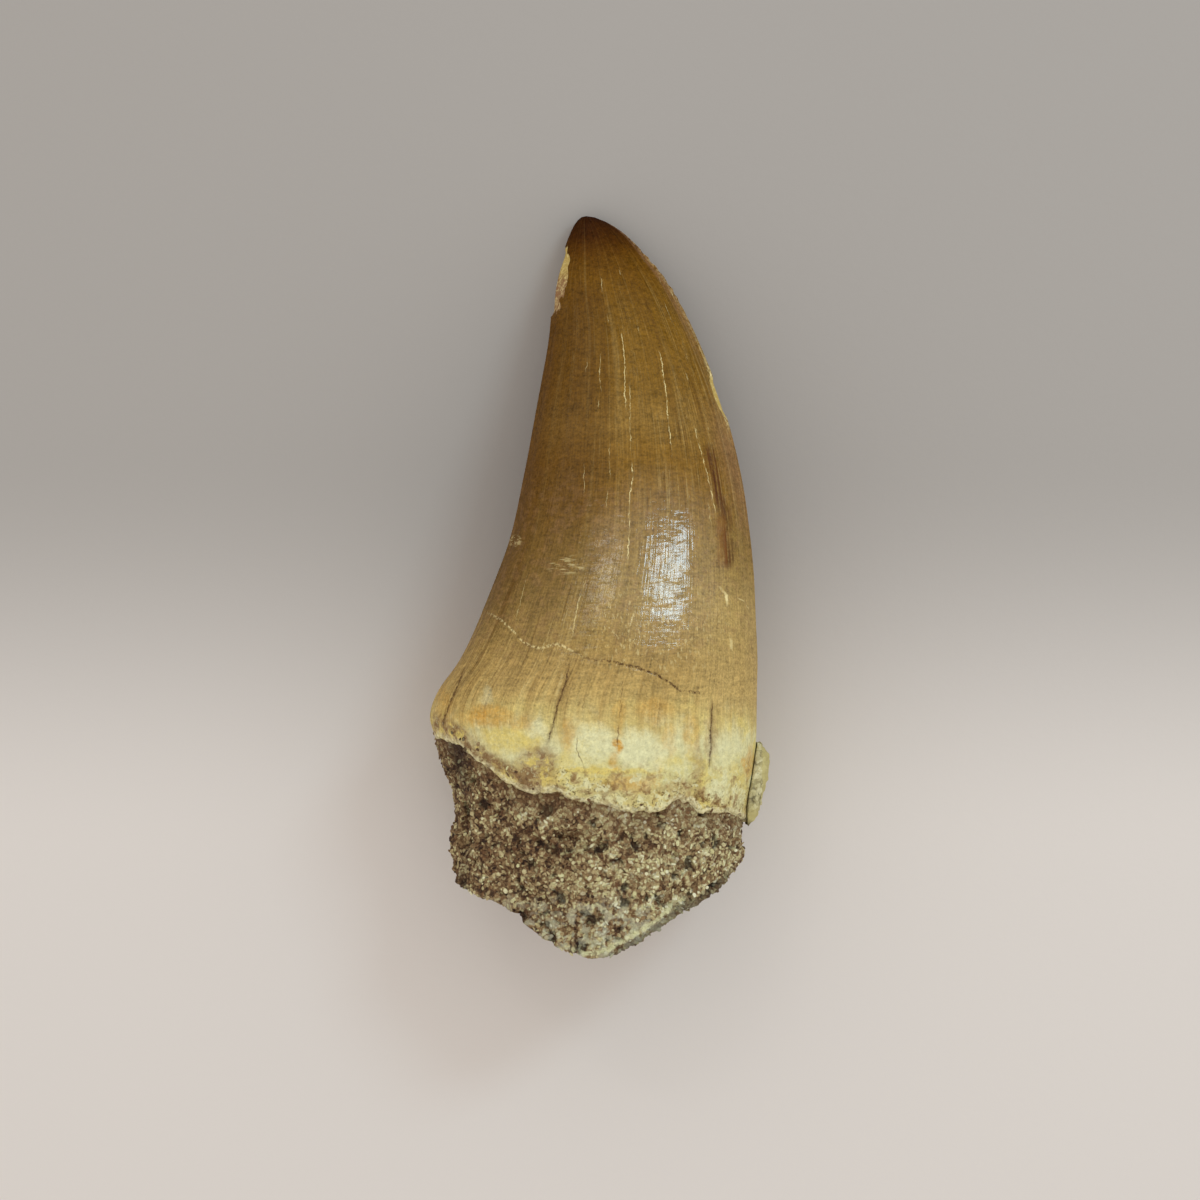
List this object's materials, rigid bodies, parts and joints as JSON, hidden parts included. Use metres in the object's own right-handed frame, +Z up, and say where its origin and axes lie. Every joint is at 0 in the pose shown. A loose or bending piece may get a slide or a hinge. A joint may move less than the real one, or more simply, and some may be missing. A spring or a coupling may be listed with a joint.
{
  "type": "fossil mosasaur tooth",
  "caption": "Recurved fossil tooth of a marine reptile with glossy enamel and a stub of porous root, a flake of rock stuck to its side; it lies on its back.",
  "frame": {"origin": "on the table under the middle of the tooth's outline", "axes": "+Y from the root to the tip, +X towards the convex edge, +Z up from the table through the tooth's thickness"},
  "size_m": [0.0296, 0.065, 0.021],
  "materials": {
    "tooth": "glossy streaky tan to dark brown enamel, over a matte grainy brown root",
    "rock": "matte grainy pale phosphate rock"
  },
  "bodies": {
    "root": {"tooth": "tooth", "rock_flake": "rock"}
  },
  "joints": []
}
